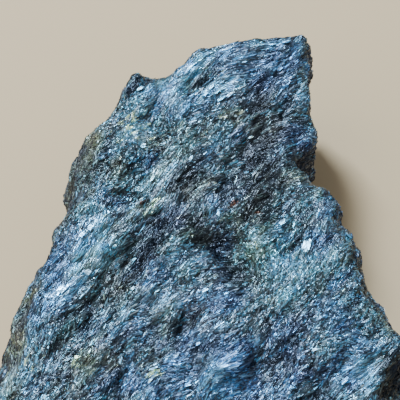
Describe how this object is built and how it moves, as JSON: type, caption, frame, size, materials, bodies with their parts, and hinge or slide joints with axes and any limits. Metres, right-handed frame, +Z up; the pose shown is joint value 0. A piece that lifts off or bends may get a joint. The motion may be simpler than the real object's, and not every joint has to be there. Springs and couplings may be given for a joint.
{
  "type": "raw nuummite",
  "caption": "Rough piece of nuummite: a thick, cleaved slab of dark amphibole schist with a fibrous, stepped upper face, broken flanks and a flat underside to rest on.",
  "frame": {"origin": "middle of the bounding box's bottom, in the plane of the resting face", "axes": "+Z up from the resting face, the stone's shortest extent; +Y along its longest extent, towards the narrow, broken end"},
  "size_m": [0.0858, 0.1108, 0.0341],
  "materials": {
    "nuummite": "rough cleavage with a silky, metallic blue sheen"
  },
  "bodies": {
    "root": {"nuummite": "nuummite"}
  },
  "joints": []
}
